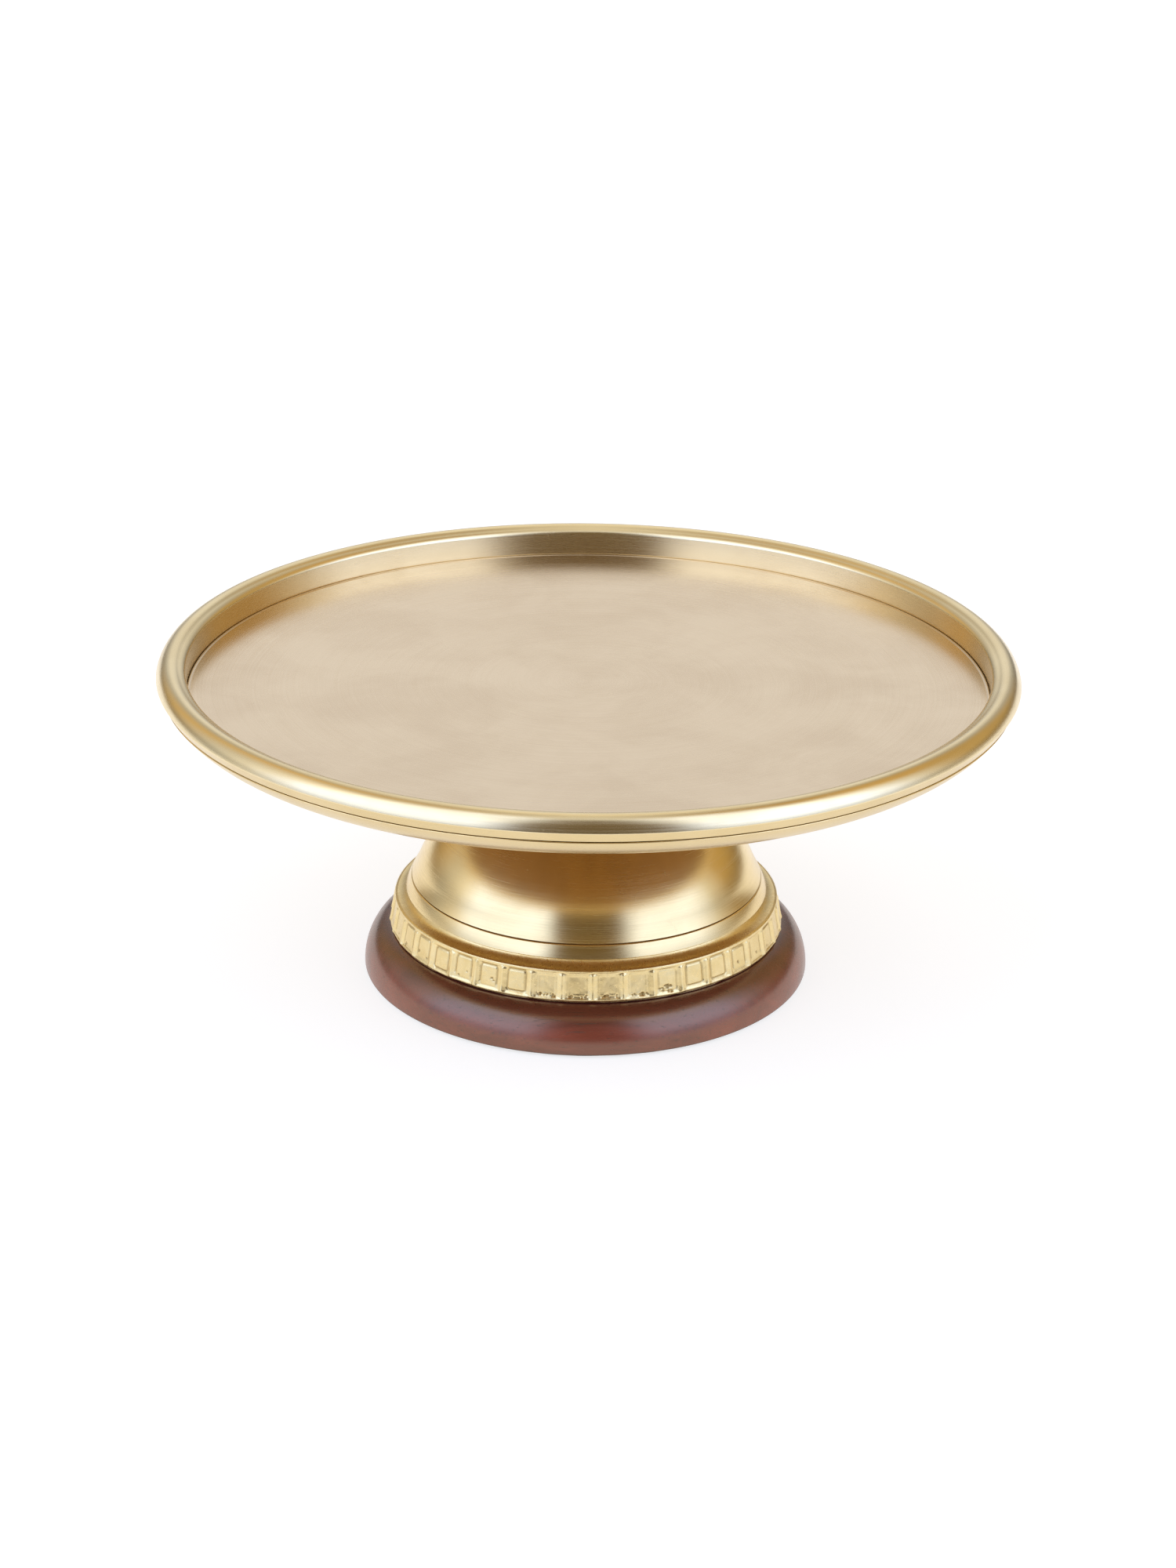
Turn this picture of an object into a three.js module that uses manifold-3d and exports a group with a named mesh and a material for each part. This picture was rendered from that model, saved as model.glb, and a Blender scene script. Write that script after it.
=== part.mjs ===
// Cake stand: a shallow round tray with a rolled rim, on a bell-shaped pedestal that
// stands on a cast fret ring and a turned wooden plinth. A tie rod down the middle
// pulls the tray, bell, ring and plinth together, and felt covers the fixings below.
// Millimetres, +Z up, origin at the centre of the felt's underside.

import * as THREE from "three";
import { mergeVertices } from "three/addons/utils/BufferGeometryUtils.js";
import Module from "manifold-3d";

const wasm = await Module();
wasm.setup();

// ---- Facets ---------------------------------------------------------------------
const LARGE_SIDES = 48; // round the tray, bell, fret ring, plinth and felt
const SMALL_SIDES = 20; // round rods, washers and holes
const CURVE_STEPS = 6; // straight pieces in one curved stretch of an outline
const LONG_CURVE_STEPS = 10; // the same, for the bell's dome
const SHORT_CURVE_STEPS = 3; // the same, for small coves and rounds

// ---- Fits -----------------------------------------------------------------------
const SEAT = 0.2; // between faces that rest on each other
const SLIP = 0.3; // round a shank, hub or spigot, on the radius

// ---- Tray -----------------------------------------------------------------------
const TRAY_RADIUS = 152.4; // widest circle of the rim
const RIM_WIDTH = 10.4; // widest circle in to the rim's inner face
const DISH_FLOOR_THICKNESS = 2.4;
const DISH_BELLY_DEPTH = 6.6; // cake floor down to the flat foot under the dish
const DISH_LIP_RISE = 2.3; // cake floor up to the lip under the rim's skirt
const DISH_LIP_SET_BACK = 2.1; // lip inside the rim's widest circle
const DISH_BELLY_WIDTH = 15.8; // run of the outside curve, from lip to flat foot
const DISH_BELLY_CORNER = 6.6; // lip in to the corner that this curve rounds off
const DISH_FOOT_WIDTH = 14; // flat foot, from the belly in to the hollow
const DISH_HOLLOW_LEAN = 2; // hollow's ceiling inside its mouth
const RIM_SHEET = 1.4;
const RIM_REBATE = 0.8; // rim's seat below the cake floor
const RIM_WALL_HEIGHT = 8.8; // inner face of the rim, with the part in the rebate
const RIM_CROWN_RISE = 2.8; // crown above the inner face
const RIM_CROWN_DROP = 4.9; // crown down to the sharp outer edge
const RIM_CROWN_CORNER = 1.2; // inner face out to the corner that the crown rounds off
const RIM_HOLLOW_DROP = 0.4; // hollow's rounding starts this far below the crown's
const RIM_GROOVE = 0.3; // open line between the rim's skirt and the dish's lip

// ---- Bell -----------------------------------------------------------------------
const BELL_SHEET = 1.2;
const BELL_HEIGHT = 72.1; // lower edge to the flat top
const BELL_TOP_RADIUS = 30;
const NECK_WAIST = 5.5; // narrowest circle inside the flat top's edge
const NECK_DROP = 9.5; // flat top down to the narrowest circle
const NECK_FLARE_LOW = 0.45; // share of that drop where the flare leaves the neck
const NECK_FLARE_HIGH = 0.9; // and where it turns out to the top
const NECK_FLARE_OUT = 1.6; // flare's upper corner outside the narrowest circle
const SHOULDER_RADIUS = 65.6; // lower edge of the shoulder bead
const SHOULDER_BEAD_WIDTH = 2.3; // lower edge in to the incised line
const SHOULDER_BEAD_STEP = 0.2; // bead's upper edge outside the incised line
const SHOULDER_BEAD_CORNER = 0.9; // lower edge in to the corner that the bead rounds off
const SHOULDER_BEAD_FULLNESS = 0.5; // that corner's share of the bead's height
const SKIRT_HEIGHT = 5.1; // incised line above the lower edge
const SKIRT_FLARE = 2.6; // incised line in to the foot of the dome
const SKIRT_FLARE_CORNER = 1.1; // foot of the dome out to the corner of the flare
const INCISED_DEPTH = 0.4;
const INCISED_WIDTH = 0.5;
const DOME_HEIGHT = 10.4; // foot of the dome above the bell's lower edge
const DOME_LEAN = 9; // dome's lower handle, in from its foot
const DOME_LEAN_RISE = 0.405; // that handle's share of the climb to the neck
const DOME_SWEEP = 1.5; // dome's upper handle, out from the neck
const DOME_SWEEP_DROP = 0.467; // that handle's share of the climb, down from the neck

// ---- Tray boss and its washer ---------------------------------------------------
const BOSS_FLANGE_SET_BACK = 3; // flange inside the bell's top edge
const BOSS_FLANGE_THICKNESS = 2.6;
const BOSS_HUB_WALL = 5; // hub outside the rod
const BOSS_HUB_LENGTH = 13;
const BOSS_BORE_CAP = 3.6; // metal above the bore
const NECK_WASHER_SET_BACK = 5; // washer inside the bell's top edge
const NECK_WASHER_THICKNESS = 0.8;

// ---- Fret ring ------------------------------------------------------------------
const FRET_COVE_WIDTH = 4.2; // face's top edge outside the bell's shoulder
const FRET_COVE_HEIGHT = 2.1; // face's top edge up to the bell's seat
const FRET_COVE_DEPTH = 0.9; // cove's corner out from the seat's edge
const FRET_COVE_LIFT = 0.7; // cove's corner above the face's top edge
const FRET_SEAT_SET_BACK = 0.9; // seat's edge inside the shoulder's lower edge
const FRET_LEAN = 2.1; // face's foot outside its top edge
const FRET_FACE_HEIGHT = 11.4;
const FRET_WALL = 3.4;
const FRET_SPIGOT_HEIGHT = 1.6; // locates the bell
const FRET_SPIGOT_WIDTH = 3.2;
const FRET_CELLS = 41;
const FRET_SLOT_WIDTH = 1.3; // upright slots between the raised panels
const FRET_SLOT_DEPTH = 0.5;
const FRET_SLOT_MARGIN = 1.6; // plain border above and below the slots
const LUG_COUNT = 3;
const LUG_SET_BACK = 8.9; // lug's centre inside the face's foot
const LUG_WALL = 3; // lug outside its screw
const LUG_CAP = 1.8; // metal above its screw

// ---- Plinth and felt ------------------------------------------------------------
const PLINTH_HEIGHT = 15.5;
const PLINTH_LEDGE = 8.85; // widest circle outside the fret ring's foot
const PLINTH_TUCK = 2.8; // edge of the flat top inside the fret ring's foot
const PLINTH_BULGE_HEIGHT = 0.6; // widest circle above the plinth's underside
const PLINTH_FOOT_SET_BACK = 0.25; // underside edge inside the widest circle
const PLINTH_FOOT_FULLNESS = 0.45; // how low the bulge starts to turn in
const NUT_POCKET_ROOM = 2; // round the clamp washer
const NUT_POCKET_SPARE = 0.4; // rod's end above the plinth's underside
const SCREW_POCKET_SPARE = 1.2; // screw heads above the plinth's underside
const FELT_THICKNESS = 1;
const FELT_SET_BACK = 1.4; // felt's edge inside the plinth's underside

// ---- Fixings --------------------------------------------------------------------
const ROD_RADIUS = 4;
const ROD_TAIL = 0.5; // rod standing out below the clamp nut
const CLAMP_WASHER_WIDTH = 7.7;
const CLAMP_WASHER_THICKNESS = 1.6;
const SPRING_WASHER_WIDTH = 2.9;
const SPRING_WASHER_THICKNESS = 1.8;
const SPRING_WASHER_GAP = 1.2; // split in the spring washer
const NUT_WALL = 2.5; // flats outside the rod
const CLAMP_NUT_THICKNESS = 4;
const LOCK_NUT_THICKNESS = 4;
const SCREW_RADIUS = 2;
const SCREW_BITE = 6.8; // thread inside the fret ring
const SCREW_HEAD_WIDTH = 1.9; // head outside its shank
const SCREW_HEAD_HEIGHT = 2.6;
const SCREW_SLOT_WIDTH = 1;
const SCREW_SLOT_DEPTH = 1.1;

// ---- Radii, tied to the tray, the bell's shoulder, the bell's top and the rod ------
const lipRadius = TRAY_RADIUS - DISH_LIP_SET_BACK;
const rimInnerRadius = TRAY_RADIUS - RIM_WIDTH;
const skirtRadius = SHOULDER_RADIUS - SHOULDER_BEAD_WIDTH;
const domeRadius = skirtRadius - SKIRT_FLARE;
const neckRadius = BELL_TOP_RADIUS - NECK_WAIST;
const fretTopRadius = SHOULDER_RADIUS + FRET_COVE_WIDTH;
const fretFootRadius = fretTopRadius + FRET_LEAN;
const lugCircleRadius = fretFootRadius - LUG_SET_BACK;
const plinthRadius = fretFootRadius + PLINTH_LEDGE;
const plinthRoundWidth = PLINTH_LEDGE + PLINTH_TUCK;
const hubRadius = ROD_RADIUS + BOSS_HUB_WALL;
const hubHole = hubRadius + SLIP;
const rodHole = ROD_RADIUS + SLIP;
const clampWasherRadius = rodHole + CLAMP_WASHER_WIDTH;
const nutPocketRadius = clampWasherRadius + NUT_POCKET_ROOM;
const screwHole = SCREW_RADIUS + SLIP;
const screwHeadRadius = SCREW_RADIUS + SCREW_HEAD_WIDTH;

// ---- Heights, from the surface the stand rests on ---------------------------------
const plinthBottom = FELT_THICKNESS + SEAT;
const plinthTop = plinthBottom + PLINTH_HEIGHT;
const fretBottom = plinthTop + SEAT;
const fretSeat = fretBottom + FRET_FACE_HEIGHT + FRET_COVE_HEIGHT;
const bellBottom = fretSeat + SEAT;
const bellTop = bellBottom + BELL_HEIGHT;
const neckWasherBottom = bellTop + SEAT;
const bossFlangeBottom = neckWasherBottom + NECK_WASHER_THICKNESS + SEAT;
const hubBottom = bossFlangeBottom - BOSS_HUB_LENGTH;
const bossBoreDepth = BOSS_HUB_LENGTH + BOSS_FLANGE_THICKNESS - BOSS_BORE_CAP;
const dishHollowDepth = DISH_BELLY_DEPTH - DISH_FLOOR_THICKNESS;
const dishBottom = bossFlangeBottom + BOSS_FLANGE_THICKNESS + SEAT - dishHollowDepth;
const dishLipTop = DISH_BELLY_DEPTH + DISH_LIP_RISE;
const rimSeat = DISH_BELLY_DEPTH - RIM_REBATE;
const rimBottom = dishBottom + rimSeat + SEAT;
const rodBottom = plinthBottom + NUT_POCKET_SPARE;
const rodTop = hubBottom + bossBoreDepth - SLIP;
const lockNutBottom = hubBottom - SEAT - LOCK_NUT_THICKNESS;
const clampNutBottom = rodBottom + ROD_TAIL;
const springWasherBottom = clampNutBottom + CLAMP_NUT_THICKNESS + SEAT;
const clampWasherBottom = springWasherBottom + SPRING_WASHER_THICKNESS + SEAT;
const nutPocketDepth = clampWasherBottom + CLAMP_WASHER_THICKNESS + SEAT - plinthBottom;
const screwSeat = plinthBottom + SCREW_POCKET_SPARE + SCREW_HEAD_HEIGHT;
const screwPocketDepth = screwSeat + SEAT - plinthBottom;
const screwLength = fretBottom - screwSeat + SCREW_BITE;
const lugHeight = SCREW_BITE + LUG_CAP;

// ---- Finishes -------------------------------------------------------------------
const finish = (color, metalness, roughness) =>
  new THREE.MeshStandardMaterial({ color, metalness, roughness });
const satinGold = () => finish(0xd9bd86, 1, 0.34);
const castGold = () => finish(0xd6b26a, 1, 0.42);
const mahogany = () => finish(0x5a2e28, 0, 0.38);
const greenFelt = () => finish(0x20281f, 0, 0.95);
const zincSteel = () => finish(0xa8aaad, 1, 0.4);
const fibre = () => finish(0x7a3b24, 0, 0.8);

// ---- Shape helpers ----------------------------------------------------------------
const point = (r, z) => new THREE.Vector2(r, z);

// Points along a quadratic curve, without its first point.
function bend(from, corner, to, steps = CURVE_STEPS) {
  return new THREE.QuadraticBezierCurve(from, corner, to).getPoints(steps).slice(1);
}

// Points along a cubic curve, without its first point.
function sweep(from, handleA, handleB, to, steps = CURVE_STEPS) {
  return new THREE.CubicBezierCurve(from, handleA, handleB, to).getPoints(steps).slice(1);
}

// A quarter of an ellipse from its widest point up to its top, without its first point.
function quarterRound(centre, width, height, steps = CURVE_STEPS) {
  const points = [];
  for (let i = 1; i <= steps; i += 1) {
    const angle = (i / steps) * (Math.PI / 2);
    points.push(point(centre.x + width * Math.cos(angle), centre.y + height * Math.sin(angle)));
  }
  return points;
}

// A copy of an open outline, moved square to itself by a distance towards its left.
function offset(outline, distance) {
  return outline.map((p, i) => {
    const before = outline[Math.max(i - 1, 0)];
    const after = outline[Math.min(i + 1, outline.length - 1)];
    const along = after.clone().sub(before).normalize();
    return point(p.x - along.y * distance, p.y + along.x * distance);
  });
}

// A turned piece: its outline runs anticlockwise, seen with the radius to the right and
// up at the top. It starts and ends on the axis, or closes on itself.
function turned(outline, sides) {
  const closed = outline[0].x > 0 ? [...outline, outline[0].clone()] : outline;
  return new THREE.LatheGeometry(closed, sides).rotateX(Math.PI / 2);
}

// A flat ring or disc of a given thickness, standing on z = 0.
function ring(inner, outer, thickness, sides) {
  return turned(
    [point(inner, 0), point(outer, 0), point(outer, thickness), point(inner, thickness)],
    sides,
  );
}

function disc(radius, thickness, sides) {
  return turned([point(0, 0), point(radius, 0), point(radius, thickness), point(0, thickness)], sides);
}

// A geometry as a manifold solid, and back.
function solid(geometry) {
  const bare = geometry.index ? geometry.toNonIndexed() : geometry.clone();
  bare.deleteAttribute("normal");
  bare.deleteAttribute("uv");
  const merged = mergeVertices(bare, 1e-4);
  return new wasm.Manifold(
    new wasm.Mesh({
      numProp: 3,
      vertProperties: merged.attributes.position.array,
      triVerts: new Uint32Array(merged.index.array),
    }),
  );
}

function geometryOf(manifold) {
  const mesh = manifold.getMesh();
  return new THREE.BufferGeometry()
    .setAttribute("position", new THREE.BufferAttribute(new Float32Array(mesh.vertProperties), 3))
    .setIndex(new THREE.BufferAttribute(new Uint32Array(mesh.triVerts), 1));
}

// A geometry turned about Z and moved out to a place on a circle.
function onCircle(geometry, radius, angle, height) {
  return geometry.translate(radius, 0, height).rotateZ(angle);
}

const lugAngle = (i) => (i * 2 * Math.PI) / LUG_COUNT + Math.PI / 2;

function piece(name, geometry, material, height) {
  const mesh = new THREE.Mesh(geometry, material);
  mesh.name = name;
  mesh.position.z = height;
  return mesh;
}

// ---- Tray -------------------------------------------------------------------------
// The dish carries the cake on a plain floor. It is hollow underneath, and outside the
// floor a rebate takes the rim and a belly curves up to a lip under it.
function trayDish() {
  const bellyStart = point(lipRadius - DISH_BELLY_WIDTH, 0);
  const bellyCorner = point(lipRadius - DISH_BELLY_CORNER, 0);
  const hollowRadius = bellyStart.x - DISH_FOOT_WIDTH;
  return turned(
    [
      point(0, dishHollowDepth),
      point(hollowRadius - DISH_HOLLOW_LEAN, dishHollowDepth),
      point(hollowRadius, 0),
      bellyStart,
      ...bend(bellyStart, bellyCorner, point(lipRadius, dishLipTop)),
      point(lipRadius - RIM_SHEET, dishLipTop),
      point(rimInnerRadius + RIM_SHEET + SLIP, rimSeat),
      point(rimInnerRadius - SEAT, rimSeat),
      point(rimInnerRadius - SEAT, DISH_BELLY_DEPTH),
      point(0, DISH_BELLY_DEPTH),
    ],
    LARGE_SIDES,
  );
}

// The rim is a rolled hollow ring round the floor: an inner face, a domed crown and a
// skirt that turns in to the dish's lip. It is open below, and soldered into the rebate.
function trayRim() {
  const crownRadius = (rimInnerRadius + TRAY_RADIUS) / 2;
  const crownTop = RIM_WALL_HEIGHT + RIM_CROWN_RISE;
  const edge = crownTop - RIM_CROWN_DROP;
  const skirtBottom = dishBottom + dishLipTop + RIM_GROOVE - rimBottom;
  const skirt = point(lipRadius, skirtBottom);
  const sharpEdge = point(TRAY_RADIUS, edge);
  const crown = point(crownRadius, crownTop);
  const innerEdge = point(rimInnerRadius, RIM_WALL_HEIGHT);
  const outside = [
    skirt,
    sharpEdge,
    ...quarterRound(point(crownRadius, edge), TRAY_RADIUS - crownRadius, RIM_CROWN_DROP),
    ...bend(crown, point(rimInnerRadius + RIM_CROWN_CORNER, crownTop), innerEdge, SHORT_CURVE_STEPS),
    point(rimInnerRadius, 0),
  ];
  const hollowTop = point(crownRadius, crownTop - RIM_SHEET);
  const hollowInner = point(rimInnerRadius + RIM_SHEET, RIM_WALL_HEIGHT - RIM_HOLLOW_DROP);
  const hollowOuter = point(TRAY_RADIUS - RIM_SHEET, edge);
  const inside = [
    point(rimInnerRadius + RIM_SHEET, 0),
    hollowInner,
    ...bend(hollowInner, point(hollowInner.x, hollowTop.y), hollowTop, SHORT_CURVE_STEPS),
    ...bend(hollowTop, point(hollowOuter.x, hollowTop.y), hollowOuter, SHORT_CURVE_STEPS),
    point(lipRadius - RIM_SHEET, skirtBottom),
  ];
  return turned([...outside, ...inside], LARGE_SIDES);
}

// A flanged boss is brazed into the hollow under the dish. Its threaded hub takes the rod.
function trayBoss() {
  const flangeRadius = BELL_TOP_RADIUS - BOSS_FLANGE_SET_BACK;
  const top = BOSS_HUB_LENGTH + BOSS_FLANGE_THICKNESS;
  return turned(
    [
      point(0, bossBoreDepth),
      point(rodHole, bossBoreDepth),
      point(rodHole, 0),
      point(hubRadius, 0),
      point(hubRadius, BOSS_HUB_LENGTH),
      point(flangeRadius, BOSS_HUB_LENGTH),
      point(flangeRadius, top),
      point(0, top),
    ],
    LARGE_SIDES,
  );
}

function trayGroup() {
  const group = new THREE.Group();
  group.add(
    piece("tray_dish", trayDish(), satinGold(), dishBottom),
    piece("tray_rim", trayRim(), satinGold(), rimBottom),
    piece("tray_boss", trayBoss(), castGold(), hubBottom),
  );
  return group;
}

// ---- Pedestal ---------------------------------------------------------------------
// The outside of the bell above its incised line, from the skirt up to the flat top.
function bellProfile() {
  const skirt = point(skirtRadius, SKIRT_HEIGHT);
  const dome = point(domeRadius, DOME_HEIGHT);
  const flareCorner = point(domeRadius + SKIRT_FLARE_CORNER, (SKIRT_HEIGHT + DOME_HEIGHT) / 2);
  const waist = point(neckRadius, BELL_HEIGHT - NECK_DROP);
  const climb = waist.y - dome.y;
  const top = point(BELL_TOP_RADIUS, BELL_HEIGHT);
  return [
    skirt,
    ...bend(skirt, flareCorner, dome, SHORT_CURVE_STEPS),
    ...sweep(
      dome,
      point(domeRadius - DOME_LEAN, DOME_HEIGHT + DOME_LEAN_RISE * climb),
      point(neckRadius + DOME_SWEEP, waist.y - DOME_SWEEP_DROP * climb),
      waist,
      LONG_CURVE_STEPS,
    ),
    ...sweep(
      waist,
      point(neckRadius, waist.y + NECK_FLARE_LOW * NECK_DROP),
      point(neckRadius + NECK_FLARE_OUT, waist.y + NECK_FLARE_HIGH * NECK_DROP),
      top,
      SHORT_CURVE_STEPS,
    ),
  ];
}

// The bell is one spun shell: neck, dome, flared skirt, incised line and shoulder bead.
function bell() {
  const skin = bellProfile();
  const beadTop = SKIRT_HEIGHT - INCISED_WIDTH;
  const beadStart = point(SHOULDER_RADIUS, 0);
  const beadCorner = point(
    SHOULDER_RADIUS - SHOULDER_BEAD_CORNER,
    SHOULDER_BEAD_FULLNESS * beadTop,
  );
  const beadEnd = point(skirtRadius + SHOULDER_BEAD_STEP, beadTop);
  const lining = offset(skin, BELL_SHEET).reverse();
  return turned(
    [
      beadStart,
      ...bend(beadStart, beadCorner, beadEnd, SHORT_CURVE_STEPS),
      point(skirtRadius - INCISED_DEPTH, SKIRT_HEIGHT - INCISED_WIDTH / 2),
      ...skin,
      point(hubHole, BELL_HEIGHT),
      point(hubHole, BELL_HEIGHT - BELL_SHEET),
      point(lining[0].x, BELL_HEIGHT - BELL_SHEET),
      ...lining.slice(1),
      point(skirtRadius - BELL_SHEET, beadTop - BELL_SHEET),
      point(SHOULDER_RADIUS - BELL_SHEET, 0),
    ],
    LARGE_SIDES,
  );
}

// One upright slot of the fret, cut square into the leaning face of the ring.
function fretSlot(angle) {
  const height = FRET_FACE_HEIGHT - 2 * FRET_SLOT_MARGIN;
  const slot = new THREE.BoxGeometry(2 * FRET_SLOT_DEPTH, FRET_SLOT_WIDTH, height);
  slot.rotateY(-Math.atan2(FRET_LEAN, FRET_FACE_HEIGHT));
  return solid(onCircle(slot, fretTopRadius + FRET_LEAN / 2, angle, FRET_FACE_HEIGHT / 2));
}

// The ring before its lugs and slots: a leaning face, a cove up to the bell's seat and a
// spigot inside the bell, hollow below.
function fretBlank() {
  const seat = FRET_FACE_HEIGHT + FRET_COVE_HEIGHT;
  const faceTop = point(fretTopRadius, FRET_FACE_HEIGHT);
  const seatEdge = point(SHOULDER_RADIUS - FRET_SEAT_SET_BACK, seat);
  const coveCorner = point(seatEdge.x + FRET_COVE_DEPTH, faceTop.y + FRET_COVE_LIFT);
  const spigotOutside = skirtRadius - BELL_SHEET - SLIP;
  const spigotInside = spigotOutside - FRET_SPIGOT_WIDTH;
  return solid(
    turned(
      [
        point(fretFootRadius, 0),
        faceTop,
        ...bend(faceTop, coveCorner, seatEdge, SHORT_CURVE_STEPS),
        point(spigotOutside, seat),
        point(spigotOutside, seat + FRET_SPIGOT_HEIGHT),
        point(spigotInside, seat + FRET_SPIGOT_HEIGHT),
        point(spigotInside, seat - FRET_WALL),
        point(fretTopRadius - FRET_WALL, FRET_FACE_HEIGHT - FRET_WALL),
        point(fretFootRadius - FRET_WALL, 0),
      ],
      LARGE_SIDES,
    ),
  );
}

// The fret ring is a casting. Lugs inside it take the screws from below, and the raised
// panels of its fret are parted by upright slots.
function fretRing() {
  let casting = fretBlank();
  for (let i = 0; i < LUG_COUNT; i += 1) {
    const lug = disc(SCREW_RADIUS + LUG_WALL, lugHeight, SMALL_SIDES);
    casting = casting.add(solid(onCircle(lug, lugCircleRadius, lugAngle(i), 0)));
  }
  for (let i = 0; i < LUG_COUNT; i += 1) {
    const depth = SCREW_BITE + SLIP;
    const tapping = disc(screwHole, 2 * depth, SMALL_SIDES);
    casting = casting.subtract(solid(onCircle(tapping, lugCircleRadius, lugAngle(i), -depth)));
  }
  for (let i = 0; i < FRET_CELLS; i += 1) {
    casting = casting.subtract(fretSlot((i * 2 * Math.PI) / FRET_CELLS));
  }
  return geometryOf(casting);
}

function pedestalGroup() {
  const group = new THREE.Group();
  const washerRadius = BELL_TOP_RADIUS - NECK_WASHER_SET_BACK;
  const washer = ring(hubHole, washerRadius, NECK_WASHER_THICKNESS, LARGE_SIDES);
  group.add(
    piece("neck_washer", washer, fibre(), neckWasherBottom),
    piece("bell", bell(), satinGold(), bellBottom),
    piece("fret_ring", fretRing(), castGold(), fretBottom),
  );
  return group;
}

// ---- Base -------------------------------------------------------------------------
// The plinth is turned from one block: a quarter-round edge, a pocket for the clamp nut,
// and a counterbored hole for each ring screw.
function plinth() {
  const foot = point(plinthRadius - PLINTH_FOOT_SET_BACK, 0);
  const footCorner = point(plinthRadius, PLINTH_FOOT_FULLNESS * PLINTH_BULGE_HEIGHT);
  const bulge = point(plinthRadius, PLINTH_BULGE_HEIGHT);
  const roundCentre = point(plinthRadius - plinthRoundWidth, PLINTH_BULGE_HEIGHT);
  const block = turned(
    [
      point(nutPocketRadius, 0),
      foot,
      ...bend(foot, footCorner, bulge, SHORT_CURVE_STEPS),
      ...quarterRound(roundCentre, plinthRoundWidth, PLINTH_HEIGHT - PLINTH_BULGE_HEIGHT),
      point(rodHole, PLINTH_HEIGHT),
      point(rodHole, nutPocketDepth),
      point(nutPocketRadius, nutPocketDepth),
    ],
    LARGE_SIDES,
  );
  let wood = solid(block);
  for (let i = 0; i < LUG_COUNT; i += 1) {
    const hole = disc(screwHole, 3 * PLINTH_HEIGHT, SMALL_SIDES);
    const pocket = disc(screwHeadRadius + SLIP, 2 * screwPocketDepth, SMALL_SIDES);
    wood = wood
      .subtract(solid(onCircle(hole, lugCircleRadius, lugAngle(i), -PLINTH_HEIGHT)))
      .subtract(solid(onCircle(pocket, lugCircleRadius, lugAngle(i), -screwPocketDepth)));
  }
  return geometryOf(wood);
}

function felt() {
  return disc(plinthRadius - PLINTH_FOOT_SET_BACK - FELT_SET_BACK, FELT_THICKNESS, LARGE_SIDES);
}

// A slotted cheese-head screw, pointing up, with its head hanging below z = 0.
function ringScrew() {
  const shape = turned(
    [
      point(0, -SCREW_HEAD_HEIGHT),
      point(screwHeadRadius, -SCREW_HEAD_HEIGHT),
      point(screwHeadRadius, 0),
      point(SCREW_RADIUS, 0),
      point(SCREW_RADIUS, screwLength - SCREW_RADIUS / 2),
      point(SCREW_RADIUS / 2, screwLength),
      point(0, screwLength),
    ],
    SMALL_SIDES,
  );
  const slot = new THREE.BoxGeometry(3 * screwHeadRadius, SCREW_SLOT_WIDTH, 2 * SCREW_SLOT_DEPTH);
  slot.translate(0, 0, -SCREW_HEAD_HEIGHT);
  return geometryOf(solid(shape).subtract(solid(slot)));
}

function baseGroup() {
  const group = new THREE.Group();
  group.add(
    piece("plinth", plinth(), mahogany(), plinthBottom),
    piece("felt_pad", felt(), greenFelt(), 0),
  );
  for (let i = 0; i < LUG_COUNT; i += 1) {
    const screw = piece(`ring_screw_${i + 1}`, ringScrew(), zincSteel(), screwSeat);
    screw.position.x = lugCircleRadius * Math.cos(lugAngle(i));
    screw.position.y = lugCircleRadius * Math.sin(lugAngle(i));
    group.add(screw);
  }
  return group;
}

// ---- Clamping fixings ---------------------------------------------------------------
// A hexagon nut on the tie rod, standing on z = 0.
function hexNut(thickness) {
  const outline = new THREE.Shape();
  const corner = (ROD_RADIUS + NUT_WALL) / Math.cos(Math.PI / 6);
  for (let i = 0; i < 6; i += 1) {
    const angle = (i * Math.PI) / 3;
    const x = corner * Math.cos(angle);
    const y = corner * Math.sin(angle);
    if (i === 0) outline.moveTo(x, y);
    else outline.lineTo(x, y);
  }
  outline.closePath();
  const body = new THREE.ExtrudeGeometry(outline, { depth: thickness, bevelEnabled: false });
  const bore = disc(rodHole, 3 * thickness, SMALL_SIDES).translate(0, 0, -thickness);
  return geometryOf(solid(body).subtract(solid(bore)));
}

// A split spring washer, standing on z = 0.
function springWasher() {
  const radius = rodHole + SPRING_WASHER_WIDTH;
  const body = ring(rodHole, radius, SPRING_WASHER_THICKNESS, SMALL_SIDES);
  const cut = new THREE.BoxGeometry(2 * radius, SPRING_WASHER_GAP, 3 * SPRING_WASHER_THICKNESS);
  cut.translate(radius, 0, 0);
  return geometryOf(solid(body).subtract(solid(cut)));
}

function fixingsGroup() {
  const group = new THREE.Group();
  const rod = disc(ROD_RADIUS, rodTop - rodBottom, SMALL_SIDES);
  const washer = ring(rodHole, clampWasherRadius, CLAMP_WASHER_THICKNESS, SMALL_SIDES);
  group.add(
    piece("tie_rod", rod, zincSteel(), rodBottom),
    piece("rod_lock_nut", hexNut(LOCK_NUT_THICKNESS), zincSteel(), lockNutBottom),
    piece("clamp_washer", washer, zincSteel(), clampWasherBottom),
    piece("spring_washer", springWasher(), zincSteel(), springWasherBottom),
    piece("clamp_nut", hexNut(CLAMP_NUT_THICKNESS), zincSteel(), clampNutBottom),
  );
  return group;
}

const cakeStand = new THREE.Group();
cakeStand.add(trayGroup(), pedestalGroup(), baseGroup(), fixingsGroup());

export default cakeStand;
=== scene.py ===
import math

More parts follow.
